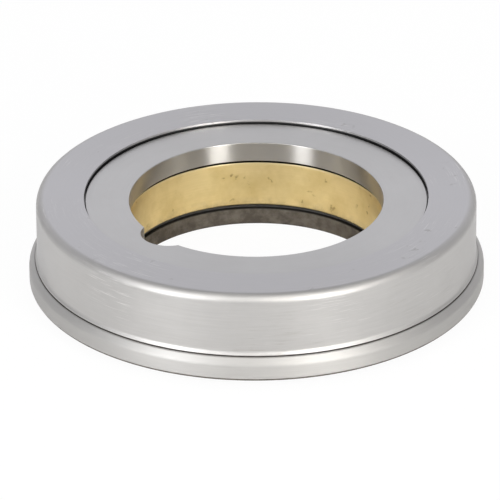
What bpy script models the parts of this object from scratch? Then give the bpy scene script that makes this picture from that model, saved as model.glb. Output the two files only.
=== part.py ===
"""Thrust bearing with tapered rollers, held together by a pressed steel shroud.

Two races lie one above the other on the Z axis. Tapered rollers run between their
conical raceways, and a machined brass cage keeps the rollers apart. All roller cones
and both raceways share one apex, on the axis at the rollers' middle plane, so that the
rollers roll without slip. The shroud is pressed on the lower race and its lip holds the
upper race in place with a running gap. Units are metres, Z = 0 is the bottom face.
"""

import math

import bmesh
import bpy
from mathutils import Matrix

# Driving dimensions: radii and widths
BORE_RADIUS = 0.028575
SHROUD_RADIUS = 0.0495
SHEET = 0.0014
LIP_WIDTH = 0.0108
BEAD_PROUD = 0.0018
SPIGOT_WALL = 0.0016
CAGE_BORE_STEP = 0.0006
CAGE_INNER_RIM = 0.0027
CAGE_NECK = 0.0008
CAGE_OUTER_RIM = 0.0015
CAGE_BAR = 0.0020
FINGER_FACE_WIDTH = 0.0125

# Driving dimensions: heights
LOWER_LAND = 0.00405
CAGE_HEIGHT = 0.0108
UPPER_LAND = 0.0046
FACE_DROP = 0.0009
BEAD_BOTTOM = 0.0017
BEAD_HEIGHT = 0.0055
SPIGOT_HEIGHT = 0.0035

# Driving dimensions: rollers, roundings and the notch
ROLLER_TAPER = 0.135
BAR_SHARE = 0.72
ROLLER_CHAMFER = 0.0004
EDGE_CHAMFER = 0.0004
CORNER_ROUND = 0.0019
FLARE = 0.0008
BEAD_SLOPE = 0.0015
FOOT_ROUND = 0.0018
NOTCH_RADIUS = 0.0063
NOTCH_DEPTH = 0.0035
NOTCH_ANGLE = math.radians(220.9)

# Clearances
SEAT_GAP = 0.0003
LIP_GAP = 0.00045
CAGE_END_GAP = 0.0008
RACE_SIDE_GAP = 0.0009
RIB_GAP = 0.00045

# Facets
RING_STEPS = 72
ROLLER_STEPS = 20
NOTCH_STEPS = 48
ARC_STEPS = 4
ROUND_STEPS = 3
MERGE = 0.00001

# Heights that follow
MID_PLANE = LOWER_LAND + CAGE_END_GAP + CAGE_HEIGHT / 2
UPPER_LAND_BOTTOM = LOWER_LAND + CAGE_HEIGHT + 2 * CAGE_END_GAP
UPPER_FACE = UPPER_LAND_BOTTOM + UPPER_LAND
TOP = UPPER_FACE + FACE_DROP
BEAD_TOP = BEAD_BOTTOM + BEAD_HEIGHT
SHROUD_FOOT = BEAD_TOP + SEAT_GAP

# Radii that follow, from the bore outwards
RUN_BORE = BORE_RADIUS + CAGE_BORE_STEP
CAGE_RIM_RADIUS = RUN_BORE + CAGE_INNER_RIM
RELIEF_RADIUS = CAGE_RIM_RADIUS + SEAT_GAP
POCKET_START = CAGE_RIM_RADIUS + CAGE_NECK
ROLLER_START = POCKET_START + SEAT_GAP

# Radii that follow, from the shroud inwards
SHROUD_INSIDE = SHROUD_RADIUS - SHEET
LIP_RADIUS = SHROUD_RADIUS - LIP_WIDTH
BOSS_RADIUS = LIP_RADIUS - LIP_GAP
UPPER_RACE_RADIUS = SHROUD_INSIDE - RACE_SIDE_GAP
SPIGOT_RADIUS = SHROUD_INSIDE - SEAT_GAP
SPIGOT_INSIDE = SPIGOT_RADIUS - SPIGOT_WALL
CAGE_RADIUS = SPIGOT_INSIDE - SEAT_GAP
POCKET_END = CAGE_RADIUS - CAGE_OUTER_RIM
ROLLER_END = POCKET_END - SEAT_GAP
RIB_RADIUS = POCKET_END
BEAD_RADIUS = SHROUD_RADIUS + BEAD_PROUD
FINGER_FACE_RADIUS = RUN_BORE + FINGER_FACE_WIDTH

# As many rollers as leave a bar of at least CAGE_BAR between pockets at their small ends
POCKET_ANGLE = 2 * math.atan(ROLLER_TAPER) + (CAGE_BAR + 2 * SEAT_GAP) / POCKET_START
ROLLER_COUNT = math.floor(2 * math.pi / POCKET_ANGLE)


def clear_scene():
    for obj in list(bpy.data.objects):
        bpy.data.objects.remove(obj, do_unlink=True)


def new_collection(name):
    collection = bpy.data.collections.new(name)
    bpy.context.scene.collection.children.link(collection)
    return collection


def new_material(name, colour, roughness):
    material = bpy.data.materials.new(name)
    material.use_nodes = True
    shader = material.node_tree.nodes["Principled BSDF"]
    shader.inputs["Base Color"].default_value = (*colour, 1.0)
    shader.inputs["Metallic"].default_value = 1.0
    shader.inputs["Roughness"].default_value = roughness
    return material


def arc(centre, radius, start, end, steps):
    """Points (r, z) on an arc about centre, from angle start to angle end in degrees."""
    points = []
    for step in range(steps + 1):
        angle = math.radians(start + (end - start) * step / steps)
        points.append((centre[0] + radius * math.cos(angle), centre[1] + radius * math.sin(angle)))
    return points


def turned(name, profile, collection, material, steps, closed=True):
    """A profile of (r, z) points, outer side first and downwards, turned about Z."""
    mesh = bpy.data.meshes.new(name)
    edges = [(i, i + 1) for i in range(len(profile) - 1)]
    if closed:
        edges.append((len(profile) - 1, 0))
    mesh.from_pydata([(r, 0.0, z) for r, z in profile], edges, [])
    mesh.materials.append(material)
    obj = bpy.data.objects.new(name, mesh)
    collection.objects.link(obj)
    turn_profile(obj, steps)
    return obj


def turn_profile(obj, steps):
    screw = obj.modifiers.new("turn", "SCREW")
    screw.axis = "Z"
    screw.angle = 2 * math.pi
    screw.steps = steps
    screw.render_steps = steps
    screw.use_merge_vertices = True
    screw.merge_threshold = MERGE
    screw.use_smooth_shade = True


def raceway(radius, side):
    """Height of a raceway at a radius: side is 1 on the upper race and -1 on the lower."""
    return MID_PLANE + side * (radius * ROLLER_TAPER + SEAT_GAP)


def shroud(collection, material):
    """Flat lip, rounded corner, plain wall and a foot that flares out over the bead."""
    inner_round = CORNER_ROUND - SHEET if CORNER_ROUND > SHEET else EDGE_CHAMFER
    flare_radius = SHROUD_RADIUS + FLARE
    profile = [(LIP_RADIUS + EDGE_CHAMFER / 2, TOP)]
    profile += arc((SHROUD_RADIUS - CORNER_ROUND, TOP - CORNER_ROUND), CORNER_ROUND, 90, 0, ARC_STEPS)
    profile += arc((flare_radius, SHROUD_FOOT + FLARE + SEAT_GAP), FLARE, 180, 270, ROUND_STEPS)
    profile += [(flare_radius, SHROUD_FOOT), (SHROUD_INSIDE, SHROUD_FOOT)]
    inner_centre = (SHROUD_INSIDE - inner_round, TOP - SHEET - inner_round)
    profile += arc(inner_centre, inner_round, 0, 90, ROUND_STEPS)
    profile += [(LIP_RADIUS, TOP - SHEET), (LIP_RADIUS, TOP - EDGE_CHAMFER / 2)]
    return turned("shroud", profile, collection, material, RING_STEPS)


def notch_cutter(collection):
    """An upright mill, standing through the bore wall where it scoops out the notch."""
    reach = BORE_RADIUS + NOTCH_DEPTH - NOTCH_RADIUS
    mesh = bpy.data.meshes.new("notch_cutter")
    mill = bmesh.new()
    bmesh.ops.create_cone(
        mill,
        cap_ends=True,
        segments=NOTCH_STEPS,
        radius1=NOTCH_RADIUS,
        radius2=NOTCH_RADIUS,
        depth=2 * (UPPER_FACE - MID_PLANE),
    )
    mill.to_mesh(mesh)
    mill.free()
    cutter = bpy.data.objects.new("notch_cutter", mesh)
    cutter.location = (reach * math.cos(NOTCH_ANGLE), reach * math.sin(NOTCH_ANGLE), UPPER_FACE)
    cutter.rotation_euler = (0.0, 0.0, NOTCH_ANGLE)
    hide_helper(cutter, collection)
    return cutter


def hide_helper(obj, collection):
    obj.hide_render = True
    obj.display_type = "WIRE"
    collection.objects.link(obj)


def cut(obj, cutter):
    boolean = obj.modifiers.new("cut", "BOOLEAN")
    boolean.operation = "DIFFERENCE"
    boolean.solver = "EXACT"
    boolean.object = cutter


def upper_race(collection, material, cutter):
    """Ring with a raised face inside the lip, a ground bore and a conical raceway below."""
    shoulder = TOP - SHEET - SEAT_GAP
    bore_edge = BORE_RADIUS + EDGE_CHAMFER
    profile = [
        (BOSS_RADIUS - EDGE_CHAMFER / 2, UPPER_FACE),
        (BOSS_RADIUS, UPPER_FACE - EDGE_CHAMFER / 2),
        (BOSS_RADIUS, shoulder),
        (UPPER_RACE_RADIUS - EDGE_CHAMFER, shoulder),
        (UPPER_RACE_RADIUS, shoulder - EDGE_CHAMFER),
        (UPPER_RACE_RADIUS, raceway(UPPER_RACE_RADIUS, 1)),
        (RELIEF_RADIUS, raceway(RELIEF_RADIUS, 1)),
        (RELIEF_RADIUS, UPPER_LAND_BOTTOM),
        (BORE_RADIUS, UPPER_LAND_BOTTOM),
        (BORE_RADIUS, UPPER_FACE - EDGE_CHAMFER),
        (bore_edge, UPPER_FACE),
    ]
    ring = turned("upper_race", profile, collection, material, RING_STEPS)
    cut(ring, cutter)
    return ring


def lower_race(collection, material):
    """Ring with the bead outside, a spigot for the shroud and a rib behind the rollers."""
    spigot_top = BEAD_TOP + SPIGOT_HEIGHT
    rib_top = MID_PLANE - bar_half_height(CAGE_RADIUS) - RIB_GAP
    foot_corner = (BEAD_RADIUS - FOOT_ROUND, BEAD_BOTTOM + FOOT_ROUND)
    profile = [
        (SPIGOT_INSIDE, spigot_top),
        (SPIGOT_RADIUS - EDGE_CHAMFER, spigot_top),
        (SPIGOT_RADIUS, spigot_top - EDGE_CHAMFER),
        (SPIGOT_RADIUS, BEAD_TOP),
        (SHROUD_RADIUS + FLARE, BEAD_TOP),
        (BEAD_RADIUS, BEAD_TOP - BEAD_SLOPE),
    ]
    profile += arc(foot_corner, FOOT_ROUND, 0, -90, ARC_STEPS)
    profile += [
        (FINGER_FACE_RADIUS + BEAD_BOTTOM / 2, BEAD_BOTTOM),
        (FINGER_FACE_RADIUS, 0.0),
        (RUN_BORE + EDGE_CHAMFER, 0.0),
        (RUN_BORE, EDGE_CHAMFER),
        (RUN_BORE, LOWER_LAND - EDGE_CHAMFER),
        (RUN_BORE + EDGE_CHAMFER, LOWER_LAND),
        (RELIEF_RADIUS, LOWER_LAND),
        (RELIEF_RADIUS, raceway(RELIEF_RADIUS, -1)),
        (RIB_RADIUS, raceway(RIB_RADIUS, -1)),
        (RIB_RADIUS, rib_top),
        (SPIGOT_INSIDE, rib_top),
    ]
    return turned("lower_race", profile, collection, material, RING_STEPS)


def bar_half_height(radius):
    """Half the height of the cage's bars, which thin towards the apex as the rollers do."""
    return BAR_SHARE * ROLLER_TAPER * radius


def pocket_cutter(collection):
    """One cone per roller, a clearance larger than the roller, all aimed at the apex."""
    mesh = bpy.data.meshes.new("pocket_cutter")
    cones = bmesh.new()
    middle = (POCKET_START + POCKET_END) / 2
    for index in range(ROLLER_COUNT):
        turn = Matrix.Rotation(2 * math.pi * index / ROLLER_COUNT, 4, "Z")
        lay_down = Matrix.Rotation(math.pi / 2, 4, "Y")
        bmesh.ops.create_cone(
            cones,
            cap_ends=True,
            segments=ROLLER_STEPS,
            radius1=POCKET_START * ROLLER_TAPER + SEAT_GAP,
            radius2=POCKET_END * ROLLER_TAPER + SEAT_GAP,
            depth=POCKET_END - POCKET_START,
            matrix=turn @ Matrix.Translation((middle, 0.0, MID_PLANE)) @ lay_down,
        )
    cones.to_mesh(mesh)
    cones.free()
    cutter = bpy.data.objects.new("pocket_cutter", mesh)
    hide_helper(cutter, collection)
    return cutter


def brass_cage(collection, material, cutter):
    """Tall inner rim, bars between the pockets and a low outer rim inside the spigot."""
    half = CAGE_HEIGHT / 2
    upper = [
        (CAGE_RADIUS, bar_half_height(CAGE_RADIUS)),
        (CAGE_RIM_RADIUS, bar_half_height(CAGE_RIM_RADIUS)),
        (CAGE_RIM_RADIUS, half),
        (RUN_BORE + EDGE_CHAMFER / 2, half),
        (RUN_BORE, half - EDGE_CHAMFER / 2),
    ]
    above = [(r, MID_PLANE + h) for r, h in upper]
    below = [(r, MID_PLANE - h) for r, h in upper]
    ring = turned("brass_cage", above[:1] + below + above[:0:-1], collection, material, RING_STEPS)
    cut(ring, cutter)
    return ring


def rollers(collection, material):
    """Tapered rollers in the middle plane: each one's origin is the apex, on its own axis."""
    large = ROLLER_END * ROLLER_TAPER
    small = ROLLER_START * ROLLER_TAPER
    profile = [
        (0.0, ROLLER_END),
        (large - ROLLER_CHAMFER, ROLLER_END),
        ((ROLLER_END - ROLLER_CHAMFER) * ROLLER_TAPER, ROLLER_END - ROLLER_CHAMFER),
        ((ROLLER_START + ROLLER_CHAMFER) * ROLLER_TAPER, ROLLER_START + ROLLER_CHAMFER),
        (small - ROLLER_CHAMFER, ROLLER_START),
        (0.0, ROLLER_START),
    ]
    first = None
    for index in range(ROLLER_COUNT):
        name = f"roller_{index + 1:02d}"
        if first is None:
            roller = turned(name, profile, collection, material, ROLLER_STEPS, closed=False)
            first = roller
        else:
            roller = bpy.data.objects.new(name, first.data)
            collection.objects.link(roller)
            turn_profile(roller, ROLLER_STEPS)
        roller.location = (0.0, 0.0, MID_PLANE)
        roller.rotation_euler = (0.0, math.pi / 2, 2 * math.pi * index / ROLLER_COUNT)


def main():
    clear_scene()
    parts = new_collection("tapered_roller_thrust_bearing")
    helpers = new_collection("cutters")
    shroud(parts, new_material("pressed_steel", (0.46, 0.46, 0.48), 0.35))
    upper_race(parts, new_material("ground_steel", (0.42, 0.42, 0.42), 0.28), notch_cutter(helpers))
    lower_race(parts, new_material("hardened_steel", (0.30, 0.29, 0.28), 0.45))
    brass_cage(parts, new_material("brass", (0.55, 0.42, 0.17), 0.38), pocket_cutter(helpers))
    rollers(parts, new_material("roller_steel", (0.50, 0.50, 0.51), 0.15))


main()
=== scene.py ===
# %% [markdown]
# This lesson dresses a thrust bearing: two steel races stacked on one axis, tapered rollers and a
# brass cage between them, and a pressed steel shroud that holds the stack together. The working
# model is already built and packed, so the first step only loads it.

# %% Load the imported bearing
import math

import bmesh
import bpy
from mathutils import Matrix, Vector


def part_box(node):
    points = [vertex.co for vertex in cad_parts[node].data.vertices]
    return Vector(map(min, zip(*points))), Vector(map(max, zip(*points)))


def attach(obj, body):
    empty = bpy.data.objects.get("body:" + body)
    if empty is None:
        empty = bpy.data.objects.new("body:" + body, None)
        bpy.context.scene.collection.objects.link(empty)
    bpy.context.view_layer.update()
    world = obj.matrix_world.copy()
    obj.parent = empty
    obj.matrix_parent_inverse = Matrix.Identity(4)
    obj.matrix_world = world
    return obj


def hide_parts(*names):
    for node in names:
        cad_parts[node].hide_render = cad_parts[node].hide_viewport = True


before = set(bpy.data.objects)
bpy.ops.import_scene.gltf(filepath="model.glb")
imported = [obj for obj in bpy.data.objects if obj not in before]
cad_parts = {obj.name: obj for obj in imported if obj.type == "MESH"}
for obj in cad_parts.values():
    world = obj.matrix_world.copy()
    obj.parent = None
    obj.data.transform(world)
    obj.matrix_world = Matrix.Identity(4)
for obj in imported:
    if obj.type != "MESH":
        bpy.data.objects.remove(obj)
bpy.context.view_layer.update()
MM = 0.001

# %% [markdown]
# The working solids are many-sided rings. A camera close by sees those sides, so each ring is turned
# again here with many more steps. Its sizes could be typed in a second time, but two lists of sizes
# drift apart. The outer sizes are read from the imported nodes, and only small local sizes, such as
# the sheet's thickness, are named here.

# %% Read the main sizes from the frame
shroud_low, shroud_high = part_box("shroud")
lower_low, lower_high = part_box("lower_race")
cage_low, cage_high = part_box("brass_cage")
upper_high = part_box("upper_race")[1]

SHEET = 1.4 * MM
FLARE = 0.8 * MM  # of the working shroud, from which the wall and the bead's ledge are found
CORNER = 1.9 * MM
LIP_WIDTH = 10.8 * MM
LIP_GAP = 0.3 * MM
SEAT_GAP = 0.3 * MM
BORE = 28.575 * MM  # radius of the upper race's ground bore
RUN_BORE = 29.175 * MM  # radius inside the cage and the lower race, a little wider
RIM = 2.7 * MM
NECK = 0.8 * MM
OUTER_RIM = 1.5 * MM
TAPER = 0.135  # a roller's radius over its distance from the axis
BAR_SHARE = 0.72  # height of the cage's bars over that of the rollers

top = shroud_high.z
foot = shroud_low.z
wall = shroud_high.x - FLARE
lip = wall - LIP_WIDTH
boss = lip - LIP_GAP
face = upper_high.z
middle = (cage_low.z + cage_high.z) / 2
relief = RUN_BORE + RIM + SEAT_GAP
print(f"shroud {2 * wall / MM:.1f} mm across, {top / MM:.2f} mm high, bore {2 * BORE / MM:.2f} mm")

# %% [markdown]
# Every ring of a bearing comes off a lathe, so its shape is one outline turned about the axis. The
# outline could be drawn as plain corners and softened later with a Bevel modifier, but a bevel has
# one width for all corners. Here each corner carries its own rounding, as on a workshop drawing:
# a bore edge is broken by a few tenths, while the shroud's pressed corner is nearly two millimetres.

# %% A turned ring from rounded corners
RING_STEPS = 256
ARC_DEGREES = 12
NEARLY_STRAIGHT = math.radians(178)
SHARP_BEND = math.radians(40)
SHARP_EDGE = 0.1 * MM
GROUND_EDGE = 0.12 * MM
BROKEN_EDGE = 0.2 * MM
TURNED_EDGE = 0.3 * MM
LEAD_IN = 0.4 * MM


def rounded(corners):
    """Turn (radius, height, rounding) corners into a smooth closed outline."""
    outline = []
    for index, (r, z, rounding) in enumerate(corners):
        here = Vector((r, z))
        before = Vector(corners[index - 1][:2]) - here
        after = Vector(corners[(index + 1) % len(corners)][:2]) - here
        opening = before.angle(after)
        if rounding == 0 or opening > NEARLY_STRAIGHT:
            outline.append(here)
            continue
        reach = rounding / math.tan(opening / 2)
        start = here + before.normalized() * reach
        end = here + after.normalized() * reach
        centre = here + (before.normalized() + after.normalized()).normalized() * (
            rounding / math.sin(opening / 2)
        )
        turn = math.pi - opening
        steps = max(2, round(math.degrees(turn) / ARC_DEGREES))
        first, last = start - centre, end - centre
        for step in range(steps + 1):
            share = step / steps
            outline.append(centre + first.slerp(last, share).normalized() * rounding)
    return outline


def as_mesh(name, work):
    mesh = bpy.data.meshes.new(name)
    work.to_mesh(mesh)
    work.free()
    mesh.shade_smooth()
    return mesh


def as_object(name, data):
    """Put a mesh, a lamp or a camera into the scene under its own name."""
    thing = bpy.data.objects.new(name, data)
    bpy.context.scene.collection.objects.link(thing)
    return thing


def turned(name, outline):
    """Turn a closed outline of (radius, height) points about the Z axis."""
    work = bmesh.new()
    rings = []
    for step in range(RING_STEPS):
        angle = 2 * math.pi * step / RING_STEPS
        rings.append(
            [work.verts.new((p[0] * math.cos(angle), p[0] * math.sin(angle), p[1])) for p in outline]
        )
    count = len(outline)
    for step in range(RING_STEPS):
        here, there = rings[step], rings[(step + 1) % RING_STEPS]
        for i in range(count):
            j = (i + 1) % count
            work.faces.new((here[i], here[j], there[j], there[i]))
    bmesh.ops.recalc_face_normals(work, faces=work.faces)
    return as_object(name, as_mesh(name, work))


def keep_flats_flat(piece):
    """Weight the normals by area, so that a broad flat face shades flat up to its rounded edge."""
    piece.data.set_sharp_from_angle(angle=SHARP_BEND)
    weighted = piece.modifiers.new("flat faces", "WEIGHTED_NORMAL")
    weighted.keep_sharp = True
    weighted.weight = 100


def cut_away(piece, cutter):
    """Cut one mesh from another and keep only the result."""
    boolean = piece.modifiers.new("cut", "BOOLEAN")
    boolean.operation = "DIFFERENCE"
    boolean.solver = "EXACT"
    boolean.object = cutter
    graph = bpy.context.evaluated_depsgraph_get()
    cut_mesh = bpy.data.meshes.new_from_object(piece.evaluated_get(graph))
    piece.modifiers.clear()
    piece.data = cut_mesh
    bpy.data.objects.remove(cutter)


print("lathe ready:", RING_STEPS, "steps to a turn")

# %% [markdown]
# The shroud is one sheet steel pressing: a flat top with a hole, a rounded corner, a plain wall and
# a foot that flares out where the press tool let go of it. A Solidify modifier on a single surface
# would give the thickness, but the foot and the lip have ends of their own, so the outline is drawn
# closed, outside first and then back up the inside. The flare is short and hollow, so it turns bright
# only near its edge. Under that edge a hair of air is left, the dark seam on the bead.

# %% Turn the shroud
PRESSED_HOME = 0.05 * MM
FOOT_FLARE = 0.4 * MM
FLARE_HEIGHT = 0.6 * MM
FLARE_HOLLOW = 1.2 * MM
FLARE_EDGE = 0.08 * MM

seam = foot - PRESSED_HOME
shroud = turned(
    "pressed_shroud",
    rounded(
        [
            (lip, top, SHARP_EDGE),
            (wall, top, CORNER),
            (wall, seam + FLARE_HEIGHT, FLARE_HOLLOW),
            (wall + FOOT_FLARE, seam + FLARE_EDGE, 0),
            (wall + FOOT_FLARE, seam, 0),
            (wall - SHEET, seam, BROKEN_EDGE),
            (wall - SHEET, top - SHEET, CORNER - SHEET),
            (lip, top - SHEET, SHARP_EDGE),
        ]
    ),
)
keep_flats_flat(shroud)
print("shroud:", len(shroud.data.polygons), "faces")

# %% [markdown]
# The upper race carries the machine's thrust. Its face stands inside the shroud's lip, its bore is
# ground to fit a spigot, and a round notch in the bore takes a locating lug. Under it lies the
# conical raceway. The notch could be modelled in the outline of a 2D ring, but then the bore's edges
# would have to be rebuilt. Turning the ring first and milling the notch after is how it is made.

# %% Turn the upper race and mill its notch
NOTCH_RADIUS = 6.3 * MM
NOTCH_DEPTH = 3.5 * MM
NOTCH_ANGLE = math.radians(220.9)
NOTCH_STEPS = 128
UPPER_LAND = 4.6 * MM
SHOULDER_EDGE = 0.15 * MM
OUTER_EDGE = 0.5 * MM


def raceway(radius, side):
    return middle + side * (radius * TAPER + SEAT_GAP)


def notch_mill():
    work = bmesh.new()
    reach = BORE + NOTCH_DEPTH - NOTCH_RADIUS
    bmesh.ops.create_cone(
        work,
        cap_ends=True,
        segments=NOTCH_STEPS,
        radius1=NOTCH_RADIUS,
        radius2=NOTCH_RADIUS,
        depth=2 * (face - middle),
        matrix=Matrix.Rotation(NOTCH_ANGLE, 4, "Z") @ Matrix.Translation((reach, 0.0, face)),
    )
    return as_object("notch_mill", as_mesh("notch_mill", work))


shoulder = top - SHEET - SEAT_GAP
upper_race = turned(
    "upper_race_ring",
    rounded(
        [
            (boss, face, GROUND_EDGE),
            (boss, shoulder, SHOULDER_EDGE),
            (upper_high.x, shoulder, OUTER_EDGE),
            (upper_high.x, raceway(upper_high.x, 1), TURNED_EDGE),
            (relief, raceway(relief, 1), TURNED_EDGE),
            (relief, face - UPPER_LAND, BROKEN_EDGE),
            (BORE, face - UPPER_LAND, GROUND_EDGE),
            (BORE, face, BROKEN_EDGE),
        ]
    ),
)
cut_away(upper_race, notch_mill())
keep_flats_flat(upper_race)
print("upper race:", len(upper_race.data.polygons), "faces, notch", NOTCH_DEPTH / MM, "mm deep")

# %% [markdown]
# The lower race is the base of the stack. Outside it swells into a round bead that the shroud sits
# on, inside it has the second raceway and a low rib that keeps the rollers from creeping outwards.
# The bead could be a torus joined to a ring, but on the real part it is one turned shape, and so it
# is here.

# %% Turn the lower race
LOWER_LAND = 4.05 * MM
LAND_EDGE = 0.35 * MM
BEAD_BOTTOM = 1.7 * MM
BEAD_HEIGHT = 5.5 * MM
BEAD_SLOPE = 1.5 * MM
BEAD_LEDGE_EDGE = 0.45 * MM
BEAD_UPPER_ROUND = 1.5 * MM
BEAD_LOWER_ROUND = 0.95 * MM
FINGER_FACE = 12.5 * MM
SPIGOT_WALL = 1.6 * MM
RIB_GAP = 0.45 * MM

bead_top = BEAD_BOTTOM + BEAD_HEIGHT
bead = lower_high.x
spigot = wall - SHEET - SEAT_GAP
spigot_inside = spigot - SPIGOT_WALL
cage_outside = cage_high.x
pocket_end = cage_outside - OUTER_RIM
rib_top = middle - BAR_SHARE * TAPER * cage_outside - RIB_GAP
finger_face = RUN_BORE + FINGER_FACE
lower_race = turned(
    "lower_race_ring",
    rounded(
        [
            (spigot_inside, lower_high.z, BROKEN_EDGE),
            (spigot, lower_high.z, LEAD_IN),
            (spigot, bead_top, SHARP_EDGE),
            (wall + FLARE, bead_top, BEAD_LEDGE_EDGE),
            (bead, bead_top - BEAD_SLOPE, BEAD_UPPER_ROUND),
            (bead, BEAD_BOTTOM, BEAD_LOWER_ROUND),
            (finger_face + BEAD_BOTTOM / 2, BEAD_BOTTOM, TURNED_EDGE),
            (finger_face, 0.0, TURNED_EDGE),
            (RUN_BORE, 0.0, LEAD_IN),
            (RUN_BORE, LOWER_LAND, LAND_EDGE),
            (relief, LOWER_LAND, BROKEN_EDGE),
            (relief, raceway(relief, -1), TURNED_EDGE),
            (pocket_end, raceway(pocket_end, -1), BROKEN_EDGE),
            (pocket_end, rib_top, BROKEN_EDGE),
            (spigot_inside, rib_top, BROKEN_EDGE),
        ]
    ),
)
keep_flats_flat(lower_race)
print("lower race:", len(lower_race.data.polygons), "faces")

# %% [markdown]
# The cage is a brass ring with one pocket for each roller. Its tall inner rim is the yellow band in
# the bore. Each pocket is bored as a cone that points at the middle of the bearing, so its walls
# curve round the roller and keep it in. A loop of cones joined into one cutter does all the pockets
# in a single cut, which is quicker and safer than one cut after another.

# %% Turn the brass cage and bore its pockets
roller_names = sorted(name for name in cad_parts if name.startswith("roller_"))
ROLLER_STEPS = 48
pocket_start = RUN_BORE + RIM + NECK


def pocket_cones():
    work = bmesh.new()
    for index in range(len(roller_names)):
        turn = Matrix.Rotation(2 * math.pi * index / len(roller_names), 4, "Z")
        centre = Matrix.Translation(((pocket_start + pocket_end) / 2, 0.0, middle))
        bmesh.ops.create_cone(
            work,
            cap_ends=True,
            segments=ROLLER_STEPS,
            radius1=pocket_start * TAPER + SEAT_GAP,
            radius2=pocket_end * TAPER + SEAT_GAP,
            depth=pocket_end - pocket_start,
            matrix=turn @ centre @ Matrix.Rotation(math.pi / 2, 4, "Y"),
        )
    return as_object("pocket_cones", as_mesh("pocket_cones", work))


def cage_side(side, bore_edge):
    """Corners of the cage's upper half (side 1) or lower half (side -1), from outside to the bore."""
    half = (cage_high.z - cage_low.z) / 2
    rim = RUN_BORE + RIM
    return [
        (cage_outside, middle + side * BAR_SHARE * TAPER * cage_outside, BROKEN_EDGE),
        (rim, middle + side * BAR_SHARE * TAPER * rim, BROKEN_EDGE),
        (rim, middle + side * half, BROKEN_EDGE),
        (RUN_BORE, middle + side * half, bore_edge),
    ]


lower_half = cage_side(-1, LEAD_IN)
upper_half = cage_side(1, SHARP_EDGE)
brass_cage = turned("brass_cage_ring", rounded(lower_half + upper_half[::-1]))
cut_away(brass_cage, pocket_cones())
keep_flats_flat(brass_cage)
print("brass cage:", len(brass_cage.data.polygons), "faces,", len(roller_names), "pockets")

# %% [markdown]
# The rollers are hidden once the bearing is closed, but a cutaway or an exploded view shows them.
# Each one is a short cone whose tip would lie on the bearing's axis, with a shallow dished mark in
# the large end as grinding leaves it. One outline is turned once, and every roller object shares
# that mesh in its own place.

# %% Make the tapered rollers
DISH_SHARE = 0.55
DISH_DEPTH = 0.25 * MM
ROLLER_EDGE = 0.5 * MM
SAME_POINT = 0.001 * MM

roller_start = pocket_start + SEAT_GAP
roller_end = pocket_end - SEAT_GAP


def roller_mesh():
    large, small = roller_end * TAPER, roller_start * TAPER
    dish = large * DISH_SHARE
    outline = rounded(
        [
            (0.0, roller_end - DISH_DEPTH, 0),
            (dish, roller_end - DISH_DEPTH, TURNED_EDGE),
            (dish + DISH_DEPTH, roller_end, SHARP_EDGE),
            (large, roller_end, ROLLER_EDGE),
            (small, roller_start, ROLLER_EDGE),
            (0.0, roller_start, 0),
        ]
    )
    work = bmesh.new()
    spin_edge = [work.verts.new((p[0], 0.0, p[1])) for p in outline]
    edges = [work.edges.new(pair) for pair in zip(spin_edge, spin_edge[1:])]
    bmesh.ops.spin(
        work,
        geom=spin_edge + edges,
        axis=(0, 0, 1),
        cent=(0, 0, 0),
        angle=2 * math.pi,
        steps=ROLLER_STEPS,
    )
    bmesh.ops.remove_doubles(work, verts=work.verts, dist=SAME_POINT)
    bmesh.ops.recalc_face_normals(work, faces=work.faces)
    return as_mesh("tapered_roller", work)


roller_shape = roller_mesh()
rollers = {}
for index, name in enumerate(roller_names):
    roller = as_object("tapered_" + name, roller_shape)
    roller.location = (0.0, 0.0, middle)
    roller.rotation_euler = (0.0, math.pi / 2, 2 * math.pi * index / len(roller_names))
    keep_flats_flat(roller)
    rollers[name] = roller
print("rollers:", len(rollers))

# %% [markdown]
# Every finish on this bearing was left by a tool that went round the axis: the lathe, the grinder,
# the brush. Fine lines that follow the circle are therefore an effect that all the metals share, so
# they are one node group. A plain stretched noise would leave a seam where the angle jumps from
# 360 to 0, so the noise is read on a circle instead: sine and cosine of the angle, the height, and
# the radius as a fourth coordinate.

# %% Node group: lines that run round the axis
ON_THE_AXIS = 0.1 * MM


def new_group(name, inputs, outputs):
    group = bpy.data.node_groups.new(name, "ShaderNodeTree")
    for label, value in inputs.items():
        socket = group.interface.new_socket(label, in_out="INPUT", socket_type="NodeSocketFloat")
        socket.default_value = value
    for label in outputs:
        group.interface.new_socket(label, in_out="OUTPUT", socket_type="NodeSocketFloat")
    return group, group.nodes.new("NodeGroupInput"), group.nodes.new("NodeGroupOutput")


def math_node(tree, operation, first, second=None):
    """A Math node: each operand is a socket or a number."""
    node = tree.nodes.new("ShaderNodeMath")
    node.operation = operation
    for socket, operand in zip(node.inputs, (first, second)):
        if operand is None:
            continue
        if isinstance(operand, (int, float)):
            socket.default_value = operand
        else:
            tree.links.new(operand, socket)
    return node.outputs[0]


def map_range(tree, value, low, high, to_low=0.0, to_high=1.0):
    node = tree.nodes.new("ShaderNodeMapRange")
    tree.links.new(value, node.inputs["Value"])
    for label, number in (("From Min", low), ("From Max", high), ("To Min", to_low), ("To Max", to_high)):
        node.inputs[label].default_value = number
    return node.outputs["Result"]


def polar(tree):
    """Sockets for radius, height, cosine and sine in the piece's own space, in metres."""
    coordinate = tree.nodes.new("ShaderNodeTexCoord")
    split = tree.nodes.new("ShaderNodeSeparateXYZ")
    tree.links.new(coordinate.outputs["Object"], split.inputs[0])
    x, y, z = split.outputs
    squares = math_node(tree, "ADD", math_node(tree, "MULTIPLY", x, x), math_node(tree, "MULTIPLY", y, y))
    radius = math_node(tree, "SQRT", squares)
    safe = math_node(tree, "MAXIMUM", radius, ON_THE_AXIS)
    return radius, z, math_node(tree, "DIVIDE", x, safe), math_node(tree, "DIVIDE", y, safe)


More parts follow.
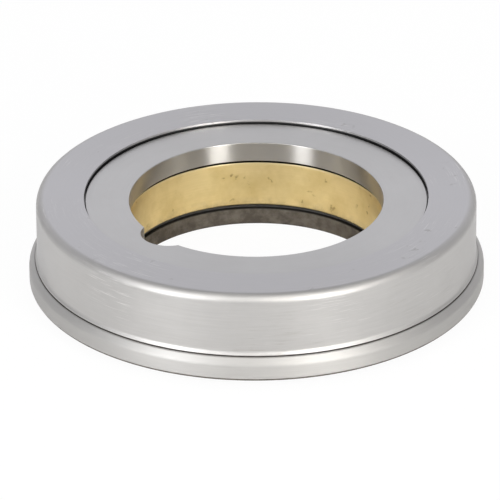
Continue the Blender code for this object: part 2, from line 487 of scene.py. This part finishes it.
def ring_noise(tree, across, along, detail, roughness):
    """Noise with `across` cells to a metre over the lines and `along` cells round the circle."""
    radius, height, cosine, sine = polar(tree)
    vector = tree.nodes.new("ShaderNodeCombineXYZ")
    for socket, value in zip(vector.inputs, (cosine, sine)):
        tree.links.new(math_node(tree, "MULTIPLY", value, along), socket)
    tree.links.new(math_node(tree, "MULTIPLY", height, across), vector.inputs[2])
    noise = tree.nodes.new("ShaderNodeTexNoise")
    noise.noise_dimensions = "4D"
    noise.inputs["Scale"].default_value = 1.0
    noise.inputs["Detail"].default_value = detail
    noise.inputs["Roughness"].default_value = roughness
    tree.links.new(vector.outputs[0], noise.inputs["Vector"])
    tree.links.new(math_node(tree, "MULTIPLY", radius, across), noise.inputs["W"])
    return noise.outputs["Fac"]


def build_turned_lines():
    group, given, result = new_group("turned_lines", {"Across": 4000.0, "Along": 6.0}, ["Lines"])
    value = ring_noise(group, given.outputs["Across"], given.outputs["Along"], detail=4.0, roughness=0.65)
    group.links.new(map_range(group, value, 0.3, 0.7), result.inputs["Lines"])
    return group


turned_lines = build_turned_lines()
print("group:", turned_lines.name)

# %% [markdown]
# Handling leaves scuffs: short rubbed streaks that break up into patches. On a lathe-turned part
# they mostly run round it. The group multiplies a coarse patch mask with fine streaks, so that the
# streaks come and go. Painting them by hand would need a texture image; noise needs none.

# %% Node group: rubbed scuffs


def build_scuffs():
    group, given, result = new_group(
        "rubbed_scuffs", {"Patches": 60.0, "Across": 2500.0, "Along": 3.0, "Amount": 0.5}, ["Scuff"]
    )
    streak = ring_noise(group, given.outputs["Across"], given.outputs["Along"], detail=3.0, roughness=0.6)
    coordinate = group.nodes.new("ShaderNodeTexCoord")
    patch = group.nodes.new("ShaderNodeTexNoise")
    patch.inputs["Detail"].default_value = 3.0
    group.links.new(coordinate.outputs["Object"], patch.inputs["Vector"])
    group.links.new(given.outputs["Patches"], patch.inputs["Scale"])
    streaks = map_range(group, streak, 0.55, 0.72)
    patches = map_range(group, patch.outputs["Fac"], 0.52, 0.68)
    both = math_node(group, "MULTIPLY", streaks, patches)
    group.links.new(math_node(group, "MULTIPLY", both, given.outputs["Amount"]), result.inputs["Scuff"])
    return group


rubbed_scuffs = build_scuffs()
print("group:", rubbed_scuffs.name)

# %% [markdown]
# Oil and storage leave stains: soft clouds of darker metal with a few small specks. The clouds come
# from a slow noise. The specks could be the cells of a Voronoi texture, but those are all round, so
# they are the peaks of a second, warped noise, kept only where the clouds are strong.

# %% Node group: stains and specks


def build_stains():
    group, given, result = new_group(
        "stains_and_specks", {"Clouds": 90.0, "Specks": 700.0, "Many": 0.0}, ["Cloud", "Speck"]
    )
    coordinate = group.nodes.new("ShaderNodeTexCoord")
    cloud = group.nodes.new("ShaderNodeTexNoise")
    cloud.inputs["Detail"].default_value = 5.0
    cloud.inputs["Roughness"].default_value = 0.6
    group.links.new(coordinate.outputs["Object"], cloud.inputs["Vector"])
    group.links.new(given.outputs["Clouds"], cloud.inputs["Scale"])
    fleck = group.nodes.new("ShaderNodeTexNoise")
    fleck.inputs["Detail"].default_value = 3.0
    fleck.inputs["Distortion"].default_value = 0.6
    group.links.new(coordinate.outputs["Object"], fleck.inputs["Vector"])
    group.links.new(given.outputs["Specks"], fleck.inputs["Scale"])
    few = map_range(group, cloud.outputs["Fac"], 0.50, 0.60)
    raised = math_node(group, "ADD", fleck.outputs["Fac"], given.outputs["Many"])
    flecks = map_range(group, raised, 0.66, 0.72)
    group.links.new(map_range(group, cloud.outputs["Fac"], 0.4, 0.66), result.inputs["Cloud"])
    group.links.new(math_node(group, "MULTIPLY", flecks, few), result.inputs["Speck"])
    return group


stains_and_specks = build_stains()
print("group:", stains_and_specks.name)

# %% [markdown]
# A material is a Principled BSDF with Metallic 1: the base colour is the colour of the reflection,
# and roughness says how wide it spreads. Turning lines spread it unevenly, wide across them and
# narrow along them. That is the grain, Anisotropic in the shader, and it follows a tangent that runs
# round the axis. The helpers below start such a metal, place a group in it and mix colours, so that
# each finish is only a few lines and its own numbers.

# %% Helpers for the metals
QUARTER_TURN = 0.25


def new_metal(name, grain):
    material = bpy.data.materials.new(name)
    material.use_nodes = True
    tree = material.node_tree
    shader = tree.nodes["Principled BSDF"]
    shader.inputs["Metallic"].default_value = 1.0
    shader.inputs["Anisotropic"].default_value = grain
    shader.inputs["Anisotropic Rotation"].default_value = QUARTER_TURN
    round_axis = tree.nodes.new("ShaderNodeTangent")
    round_axis.direction_type = "RADIAL"
    round_axis.axis = "Z"
    tree.links.new(round_axis.outputs["Tangent"], shader.inputs["Tangent"])
    return material, tree, shader


def place(tree, group, **values):
    node = tree.nodes.new("ShaderNodeGroup")
    node.node_tree = group
    for label, value in values.items():
        node.inputs[label].default_value = value
    return node


def between(tree, share, low, high):
    """A value that goes from low to high as a mask goes from 0 to 1."""
    return map_range(tree, share, 0.0, 1.0, low, high)


def mix_colour(tree, factor, first, second):
    """Mix two colours by a mask: each colour is a socket or a tuple."""
    node = tree.nodes.new("ShaderNodeMix")
    node.data_type = "RGBA"
    tree.links.new(factor, node.inputs["Factor"])
    for label, colour in (("A", first), ("B", second)):
        socket = [s for s in node.inputs if s.name == label and s.type == "RGBA"][0]
        if isinstance(colour, tuple):
            socket.default_value = (*colour, 1.0)
        else:
            tree.links.new(colour, socket)
    return [s for s in node.outputs if s.type == "RGBA"][0]


def set_finish(tree, shader, colour, roughness):
    tree.links.new(colour, shader.inputs["Base Color"])
    tree.links.new(roughness, shader.inputs["Roughness"])


def bump(tree, shader, height, depth):
    node = tree.nodes.new("ShaderNodeBump")
    node.inputs["Distance"].default_value = depth
    tree.links.new(height, node.inputs["Height"])
    tree.links.new(node.outputs["Normal"], shader.inputs["Normal"])


print("metal helpers ready")

# %% [markdown]
# The shroud is bright sheet steel with the faint lines of the press and the polishing belt. The wall
# carries soft clouds and light and brownish rubs, the top a few nicks. The lip's sheared inner wall
# is painted near black below its edge, the painted shade of the narrow gap round the upper race. The
# wall's tone is a little warmer and lighter and the top's a touch cool: a painted tint of the light
# that each mirrors. Top and wall could be two materials, but they would meet in a hard line on the
# rounded corner, so one material fades from one to the other by radius. Where the sheet was bent it is
# a little rougher.

# %% Finish: pressed sheet steel
# A painted tint: the wall's tone is warmer and a little lighter, the top's a touch cool, as the light each
# mirrors.
WALL_STEEL = (0.47, 0.462, 0.448), (0.525, 0.516, 0.502)
TOP_STEEL = (0.46, 0.454, 0.458), (0.50, 0.494, 0.498)
SHEET_CLOUD = (0.42, 0.412, 0.405)
SHEET_NICK = (0.38, 0.37, 0.365)
LIGHT_RUB = (0.70, 0.69, 0.67)
BROWN_RUB = (0.34, 0.315, 0.29)
# Painted shade: near black for the lip's inner wall, the shade of the narrow gap round the race.
LIP_GAP_SHADE = (0.05, 0.05, 0.05)
SHEET_ROUGHNESS = 0.34, 0.43
CORNER_ROUGHER = 0.17
FLARE_ROUGHER = 0.13
RUBS_ON_TOP = 0.15
CLOUDS_ON_WALL = 0.4
CLOUDS_ON_TOP = 0.15


def pressed_steel():
    material, tree, shader = new_metal("pressed_steel", grain=0.3)
    radius, height = polar(tree)[:2]
    on_wall = map_range(tree, radius, wall - CORNER, wall - CORNER / 2, RUBS_ON_TOP, 1.0)
    on_top = map_range(tree, radius, wall - CORNER, wall - CORNER / 2, 1.0, 0.0)
    # Painted shade: the lip's inner wall below its edge is painted near black, as the gap it faces.
    at_lip = map_range(tree, radius, lip + 0.02 * MM, lip + 0.06 * MM, 1.0, 0.0)
    below_edge = map_range(tree, height, top - 0.5 * MM, top - 0.4 * MM, 1.0, 0.0)
    lip_gap_shade = math_node(tree, "MULTIPLY", at_lip, below_edge)
    lines = place(tree, turned_lines, Across=3500.0, Along=5.0).outputs["Lines"]
    stain = place(tree, stains_and_specks, Clouds=45.0, Specks=350.0)
    dull = place(tree, rubbed_scuffs, Patches=70.0, Across=3200.0, Along=7.0, Amount=0.8).outputs["Scuff"]
    shine = place(tree, rubbed_scuffs, Patches=45.0, Across=4500.0, Along=9.0, Amount=0.9).outputs["Scuff"]
    scuff = math_node(tree, "MULTIPLY", dull, on_wall)
    # Painted tint of the mirrored light: the warmer tone on the wall, the cooler one on the top.
    wall_tone = mix_colour(tree, lines, *WALL_STEEL)
    top_tone = mix_colour(tree, lines, *TOP_STEEL)
    tone = mix_colour(tree, on_top, wall_tone, top_tone)
    cloud_share = between(tree, on_top, CLOUDS_ON_WALL, CLOUDS_ON_TOP)
    cloudy = math_node(tree, "MULTIPLY", stain.outputs["Cloud"], cloud_share)
    clouded = mix_colour(tree, cloudy, tone, SHEET_CLOUD)
    nicks = math_node(tree, "MULTIPLY", stain.outputs["Speck"], on_top)
    nicked = mix_colour(tree, nicks, clouded, SHEET_NICK)
    scratched = mix_colour(tree, shine, nicked, LIGHT_RUB)
    rubbed = mix_colour(tree, scuff, scratched, BROWN_RUB)
    colour = mix_colour(tree, lip_gap_shade, rubbed, LIP_GAP_SHADE)
    on_corner = map_range(tree, height, top - CORNER, top - CORNER / 2, 0.0, CORNER_ROUGHER)
    on_flare = map_range(tree, height, seam + FLARE_HEIGHT, seam + 2 * FLARE_HEIGHT, FLARE_ROUGHER, 0.0)
    bent = math_node(tree, "MULTIPLY", math_node(tree, "ADD", on_corner, on_flare), on_wall)
    rough = between(tree, lines, *SHEET_ROUGHNESS)
    set_finish(tree, shader, colour, math_node(tree, "ADD", rough, bent))
    bump(tree, shader, lines, depth=0.004 * MM)
    return material


shroud.data.materials.append(pressed_steel())
print("shroud:", shroud.data.materials[0].name)

# %% [markdown]
# The upper race is ground all over. On the face the wheel leaves very fine rings; the bore is ground
# along one grain only, so it draws the lights out into two bright bars. A mask in one material could
# tell face from bore, but the strength of a grain is a single number in the shader. So the race gets
# two finishes, and each polygon takes one by the way it faces. In the bore the radius finds the
# milled wall of the notch, which nobody grinds.

# %% Finish: ground race steel, face and bore
FACE_STEEL = (0.455, 0.45, 0.44), (0.475, 0.47, 0.46)
FACE_ROUGHNESS = 0.32, 0.40
BORE_STEEL = (0.46, 0.45, 0.434)
BORE_ROUGHNESS = 0.28, 0.36
MILLED_STEEL = (0.20, 0.18, 0.165)
UPRIGHT = 0.5


def ground_face():
    material, tree, shader = new_metal("ground_face", grain=0.3)
    lines = place(tree, turned_lines, Across=6000.0, Along=3.0).outputs["Lines"]
    cloud = place(tree, stains_and_specks, Clouds=60.0).outputs["Cloud"]
    colour = mix_colour(tree, cloud, *FACE_STEEL)
    set_finish(tree, shader, colour, between(tree, lines, *FACE_ROUGHNESS))
    bump(tree, shader, lines, depth=0.002 * MM)
    return material


def ground_bore():
    material, tree, shader = new_metal("ground_bore", grain=1.0)
    in_notch = map_range(tree, polar(tree)[0], BORE + 0.1 * MM, BORE + 0.5 * MM)
    lines = place(tree, turned_lines, Across=6000.0, Along=3.0).outputs["Lines"]
    colour = mix_colour(tree, in_notch, BORE_STEEL, MILLED_STEEL)
    set_finish(tree, shader, colour, between(tree, lines, *BORE_ROUGHNESS))
    bump(tree, shader, lines, depth=0.002 * MM)
    return material


upper_race.data.materials.clear()
upper_race.data.materials.append(ground_face())
upper_race.data.materials.append(ground_bore())
for polygon in upper_race.data.polygons:
    upright = abs(polygon.normal.z) < UPRIGHT
    in_bore = polygon.center.xy.length < BORE + NOTCH_DEPTH + 0.02 * MM
    polygon.material_index = 1 if upright and in_bore else 0
print("upper race:", [material.name for material in upper_race.data.materials])

# %% [markdown]
# The lower race is bright outside and dark inside. Its bead was turned and polished with the shroud,
# but nobody finishes its bore: the brown-black skin of the hardening furnace is still on it. Radius
# and height decide together: the bore, the underside and the seat below the shroud keep the skin.
# The skin's colour also reaches up the bead's lower rounding as painted shade along its bottom edge,
# and on the seat it is painted shade in the seam under the shroud's foot. The bore's upper end is
# painted near black, the painted shade of the gap that is the dark line under the brass.

# %% Finish: hardened steel with a bright bead
# The skin colour is also painted shade along the bead's bottom edge and in the seam under the shroud.
FURNACE_SKIN_AND_SHADE = (0.122, 0.109, 0.096), (0.20, 0.182, 0.158)
BEAD_STEEL = (0.45, 0.442, 0.428), (0.50, 0.491, 0.476)
# Painted shade: near black for the gap under the brass.
GAP_SHADE_BLACK = (0.03, 0.028, 0.024)
BEAD_ROUGHNESS = 0.54, 0.62
SKIN_ROUGHER = 0.04


def hardened_steel():
    material, tree, shader = new_metal("hardened_steel", grain=0.5)
    radius, height = polar(tree)[:2]
    outside = map_range(tree, radius, RUN_BORE + 0.6 * MM, RUN_BORE + 1.2 * MM)
    # Painted shade: the bead's lowest part takes the skin colour, a dark line along its bottom edge.
    above = map_range(tree, height, BEAD_BOTTOM + 0.6 * MM, BEAD_BOTTOM + 0.8 * MM)
    # Painted shade: the seat under the shroud's foot stays dark, the shade of the seam.
    below = map_range(tree, height, bead_top - 0.06 * MM, bead_top - 0.02 * MM, 1.0, 0.0)
    beside = map_range(tree, radius, wall + FOOT_FLARE, wall + FOOT_FLARE + 0.2 * MM)
    clear = math_node(tree, "MAXIMUM", below, beside)
    bright = math_node(tree, "MULTIPLY", outside, math_node(tree, "MULTIPLY", above, clear))
    lines = place(tree, turned_lines, Across=3000.0, Along=5.0).outputs["Lines"]
    cloud = place(tree, stains_and_specks, Clouds=500.0).outputs["Cloud"]
    skin_and_shade = mix_colour(tree, cloud, *FURNACE_SKIN_AND_SHADE)
    steel = mix_colour(tree, lines, *BEAD_STEEL)
    # Painted shade: the bore's upper end is painted near black, the gap under the brass.
    inside = map_range(tree, radius, relief, relief + 0.1 * MM, 1.0, 0.0)
    on_end = map_range(tree, height, LOWER_LAND - 0.3 * MM, LOWER_LAND - 0.1 * MM)
    painted_gap_shade = math_node(tree, "MULTIPLY", inside, on_end)
    dark = mix_colour(tree, painted_gap_shade, skin_and_shade, GAP_SHADE_BLACK)
    colour = mix_colour(tree, bright, dark, steel)
    steel_rough = between(tree, lines, *BEAD_ROUGHNESS)
    skin_rough = between(tree, bright, SKIN_ROUGHER, 0.0)
    set_finish(tree, shader, colour, math_node(tree, "ADD", steel_rough, skin_rough))
    bump(tree, shader, lines, depth=0.004 * MM)
    return material


lower_race.data.materials.append(hardened_steel())
print("lower race:", lower_race.data.materials[0].name)

# %% [markdown]
# The cage is cast and turned brass. In the bore it is pale yellow with olive clouds where oil has
# tarnished it, and a few dark specks. A lighter band at the upper edge is a painted highlight, the
# lower part is darker towards the bottom, and both ends of the rim are painted near black as the shade
# in the gaps above and below. These could be painted on the mesh, but the highlight, the darkening and
# the shade follow height and radius, so they are masks of these two.

# %% Finish: turned brass
CLEAN_BRASS = (0.85, 0.69, 0.35), (0.91, 0.745, 0.40)
TARNISH = (0.76, 0.60, 0.28)
BRASS_SPECK = (0.46, 0.33, 0.14)
# Darker towards the bottom of the cage.
BRASS_LOWER_DARK = (0.52, 0.41, 0.21)
# Painted highlight at the upper edge of the rim.
RIM_HIGHLIGHT = (0.87, 0.735, 0.435)
# Painted shade for the gaps at both ends of the rim.
GAP_SHADE_BROWN = (0.05, 0.04, 0.025)
BRASS_ROUGHNESS = 0.34, 0.46
MOST_LOWER_DARKENING = 0.75


def turned_brass():
    material, tree, shader = new_metal("turned_brass", grain=0.4)
    lines = place(tree, turned_lines, Across=2500.0, Along=4.0).outputs["Lines"]
    stain = place(tree, stains_and_specks, Clouds=130.0, Specks=420.0, Many=0.03)
    lower_cloud = place(tree, stains_and_specks, Clouds=420.0).outputs["Cloud"]
    radius, height = polar(tree)[:2]
    # Painted highlight: a lighter band just under the upper edge.
    rim = map_range(tree, height, cage_high.z - 0.5 * MM, cage_high.z - 0.2 * MM)
    # Darker towards the bottom, in clouds.
    low = map_range(tree, height, cage_low.z + 0.4 * MM, cage_low.z + 2.4 * MM, MOST_LOWER_DARKENING, 0.0)
    # Painted shade: the lower end and the top of the rim are near black, the shade in the gaps.
    low_end = map_range(tree, height, cage_low.z + 0.1 * MM, cage_low.z + 0.5 * MM, 1.0, 0.0)
    high_end = map_range(tree, height, cage_high.z - 0.1 * MM, cage_high.z - 0.05 * MM)
    behind = map_range(tree, radius, RUN_BORE + 0.1 * MM, RUN_BORE + 0.3 * MM)
    painted_gap_shade = math_node(tree, "MAXIMUM", low_end, math_node(tree, "MULTIPLY", high_end, behind))
    clean = mix_colour(tree, lines, *CLEAN_BRASS)
    tarnished = mix_colour(tree, stain.outputs["Cloud"], clean, TARNISH)
    specked = mix_colour(tree, stain.outputs["Speck"], tarnished, BRASS_SPECK)
    darkened_low = mix_colour(tree, math_node(tree, "MULTIPLY", low, lower_cloud), specked, BRASS_LOWER_DARK)
    rim_highlighted = mix_colour(tree, rim, darkened_low, RIM_HIGHLIGHT)
    colour = mix_colour(tree, painted_gap_shade, rim_highlighted, GAP_SHADE_BROWN)
    set_finish(tree, shader, colour, between(tree, lines, *BRASS_ROUGHNESS))
    bump(tree, shader, lines, depth=0.006 * MM)
    return material


brass_cage.data.materials.clear()
brass_cage.data.materials.append(turned_brass())
print("brass cage:", brass_cage.data.materials[0].name)

# %% [markdown]
# Rollers are lapped until they shine, with grinding lines too fine to see one by one. A bump could
# cut the lines into the surface, but here they only vary the tone and the roughness a little. They
# are the same line group with a small spacing.

# %% Finish: lapped roller steel
ROLLER_STEEL = (0.56, 0.56, 0.57), (0.60, 0.60, 0.61)
ROLLER_ROUGHNESS = 0.10, 0.17


def lapped_steel():
    material, tree, shader = new_metal("lapped_steel", grain=0.3)
    lines = place(tree, turned_lines, Across=9000.0, Along=2.0).outputs["Lines"]
    colour = mix_colour(tree, lines, *ROLLER_STEEL)
    set_finish(tree, shader, colour, between(tree, lines, *ROLLER_ROUGHNESS))
    return material


roller_shape.materials.append(lapped_steel())
print("rollers:", roller_shape.materials[0].name)

# %% [markdown]
# Each new piece now stands for its working node and rides on the body that carries it, so it turns
# with the joints. The shroud and the lower race are one body; the upper race, the cage and every
# roller are bodies of their own. The pieces could be parented by hand, one at a time, but a short
# list and a loop can't miss one.

# %% Tie the pieces to the bodies
ring_pieces = (
    (shroud, "shroud", "housing", "pressed_steel"),
    (upper_race, "upper_race", "carrier", "ground_steel"),
    (lower_race, "lower_race", "housing", "hardened_steel"),
    (brass_cage, "brass_cage", "cage", "brass"),
)
for piece, node, body, finish in ring_pieces:
    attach(piece, body)
    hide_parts(node)
for name, roller in rollers.items():
    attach(roller, name)
    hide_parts(name)
print("tied:", len(ring_pieces) + len(rollers), "pieces")

# %% [markdown]
# The camera stands far off with a long lens, as for a catalogue picture: the far and near edges of
# the ring are then almost the same size. It looks down by 27 degrees and leans by a third of a
# degree. Lens shift could place the ring in the picture, but moving the aim point a little off the
# axis is simpler, and the ring then lies in the picture as it does in the photograph.

# %% Camera
CAMERA_DISTANCE = 1.5
CAMERA_ELEVATION = math.radians(26.99)
CAMERA_ROLL = math.radians(0.33)
IMAGE_SIDE = 500
PIXELS_PER_METRE = 4437.0
SENSOR = 36.0
REFERENCE_HEIGHT = 11.0 * MM
REFERENCE_PIXEL = (256.5, 238.5)

toward = Vector((0.0, math.cos(CAMERA_ELEVATION), -math.sin(CAMERA_ELEVATION)))
right = Vector((1.0, 0.0, 0.0))
up = right.cross(toward)
offset_x = (IMAGE_SIDE / 2 - REFERENCE_PIXEL[0]) / PIXELS_PER_METRE
offset_y = (REFERENCE_PIXEL[1] - IMAGE_SIDE / 2) / PIXELS_PER_METRE
aim = Vector((0.0, 0.0, REFERENCE_HEIGHT)) + right * offset_x + up * offset_y
lens_pixels = PIXELS_PER_METRE * CAMERA_DISTANCE
camera_data = bpy.data.cameras.new("camera")
camera_data.sensor_width = SENSOR
camera_data.lens = lens_pixels * SENSOR / IMAGE_SIDE
camera = as_object("camera", camera_data)
camera.location = aim - toward * CAMERA_DISTANCE
level = toward.to_track_quat("-Z", "Y").to_matrix()
camera.rotation_euler = (level @ Matrix.Rotation(-CAMERA_ROLL, 3, "Z")).to_euler()
bpy.context.scene.camera = camera
print(f"lens {camera_data.lens:.0f} mm")

# %% [markdown]
# Metal shows its surroundings more than its own colour, so the light is a small studio. A wide box
# in front draws the bright line on the rounded corner, two upright strips beside the camera become
# the bars in the ground bore, and a weak box on each side carries the line round the ends. A single
# strong lamp would be simpler, but it would leave most of the metal black.

# %% Lights
WARM_WHITE = (1.0, 0.985, 0.95)
COOL_WHITE = (0.98, 0.985, 1.0)
LIT_POINT = Vector((0.0, 0.0, 0.01))


def around(azimuth, elevation, distance):
    """A point seen from the bearing: azimuth from the camera's side, to the right."""
    turn, rise = math.radians(azimuth), math.radians(elevation)
    flat = distance * math.cos(rise)
    return Vector((flat * math.sin(turn), -flat * math.cos(turn), distance * math.sin(rise)))


def soft_box(name, place_at, width, height, power, colour=WARM_WHITE):
    data = bpy.data.lights.new(name, "AREA")
    data.color = colour
    data.shape = "RECTANGLE"
    data.size = width
    data.size_y = height
    data.energy = power
    lamp = as_object(name, data)
    lamp.location = place_at
    lamp.rotation_euler = (LIT_POINT - place_at).to_track_quat("-Z", "Y").to_euler()


soft_box("front_box", around(0, 42, 1.3), width=1.75, height=0.56, power=7.0)
soft_box("left_strip", around(-43, 20, 1.1), width=0.29, height=0.7, power=6.6, colour=COOL_WHITE)
soft_box("right_strip", around(33.5, 20, 1.1), width=0.32, height=0.7, power=7.7)
soft_box("left_side", around(-77, 30, 1.2), width=0.45, height=0.3, power=0.8, colour=COOL_WHITE)
soft_box("right_side", around(78, 30, 1.2), width=0.4, height=0.3, power=0.8)
print("lamps:", len(bpy.data.lights))

# %% [markdown]
# What the flat faces mirror is the room behind the bearing. A picture of a real room could stand
# there, but a ramp over height is easier to tune: dim at the horizon, pale at the height that the
# flat faces mirror, and dimmer again overhead. The room is also stronger behind the bearing than in
# front of it. The camera itself sees plain white.

# %% World: a pale room
ROOM_TONES = (
    (0.0, (0.45, 0.45, 0.46)),
    (0.30, (0.94, 0.94, 0.98)),
    (0.55, (0.93, 0.93, 0.99)),
    (0.80, (0.66, 0.66, 0.67)),
    (1.0, (0.62, 0.62, 0.63)),
)
WHITE = (1.0, 1.0, 1.0)
FRONT_STRENGTH = 0.56
BACK_STRENGTH = 1.18

world = bpy.data.worlds.new("studio")
bpy.context.scene.world = world
world.use_nodes = True
sky = world.node_tree
background = sky.nodes["Background"]
direction = sky.nodes.new("ShaderNodeTexCoord")
split = sky.nodes.new("ShaderNodeSeparateXYZ")
sky.links.new(direction.outputs["Generated"], split.inputs[0])
room = sky.nodes.new("ShaderNodeValToRGB")
for rise, tone in ROOM_TONES[1:-1]:
    room.color_ramp.elements.new(rise)
for stop, (rise, tone) in zip(room.color_ramp.elements, ROOM_TONES):
    stop.position = rise
    stop.color = (*tone, 1.0)
sky.links.new(split.outputs["Z"], room.inputs["Fac"])
seen = sky.nodes.new("ShaderNodeLightPath").outputs["Is Camera Ray"]
backdrop = map_range(sky, split.outputs["Y"], 0.3, 0.88, FRONT_STRENGTH, BACK_STRENGTH)
sky.links.new(math_node(sky, "MAXIMUM", backdrop, seen), background.inputs["Strength"])
sky.links.new(mix_colour(sky, seen, room.outputs["Color"], WHITE), background.inputs["Color"])
print("room:", [round(stop.position, 2) for stop in room.color_ramp.elements])

# %% [markdown]
# The floor is a plain white table. It has to look white, keep a soft shadow under the bead and light
# the metal's walls no more than a real table would. A brighter lamp could whiten it, but that would
# burn out the metal, so the diffuse white that the shadow falls on is mixed with an even glow: much
# of it where the camera looks, little of it where the metal mirrors it.

# %% Floor
FLOOR_SIDE = 6.0
FLOOR_GAP = 0.02 * MM
TABLE_WHITE = (0.9, 0.9, 0.9)
GLOW_SEEN = 0.95
GLOW_MIRRORED = 0.05


def white_table():
    material = bpy.data.materials.new("white_table")
    material.use_nodes = True
    tree = material.node_tree
    tree.nodes.clear()
    output = tree.nodes.new("ShaderNodeOutputMaterial")
    diffuse = tree.nodes.new("ShaderNodeBsdfDiffuse")
    diffuse.inputs["Color"].default_value = (*TABLE_WHITE, 1.0)
    glow = tree.nodes.new("ShaderNodeEmission")
    glow.inputs["Color"].default_value = (*WHITE, 1.0)
    path = tree.nodes.new("ShaderNodeLightPath")
    seen = math_node(tree, "MULTIPLY", path.outputs["Is Camera Ray"], GLOW_SEEN)
    mirrored = math_node(tree, "MULTIPLY", path.outputs["Is Glossy Ray"], GLOW_MIRRORED)
    blend = tree.nodes.new("ShaderNodeMixShader")
    tree.links.new(math_node(tree, "ADD", seen, mirrored), blend.inputs["Fac"])
    tree.links.new(diffuse.outputs[0], blend.inputs[1])
    tree.links.new(glow.outputs[0], blend.inputs[2])
    tree.links.new(blend.outputs[0], output.inputs["Surface"])
    return material


floor_work = bmesh.new()
bmesh.ops.create_grid(floor_work, x_segments=1, y_segments=1, size=FLOOR_SIDE / 2)
floor = as_object("table", as_mesh("table", floor_work))
floor.data.materials.append(white_table())
floor.location.z = lower_low.z - FLOOR_GAP
bpy.context.scene.view_settings.view_transform = "Standard"
print("floor at", round(floor.location.z / MM, 2), "mm")
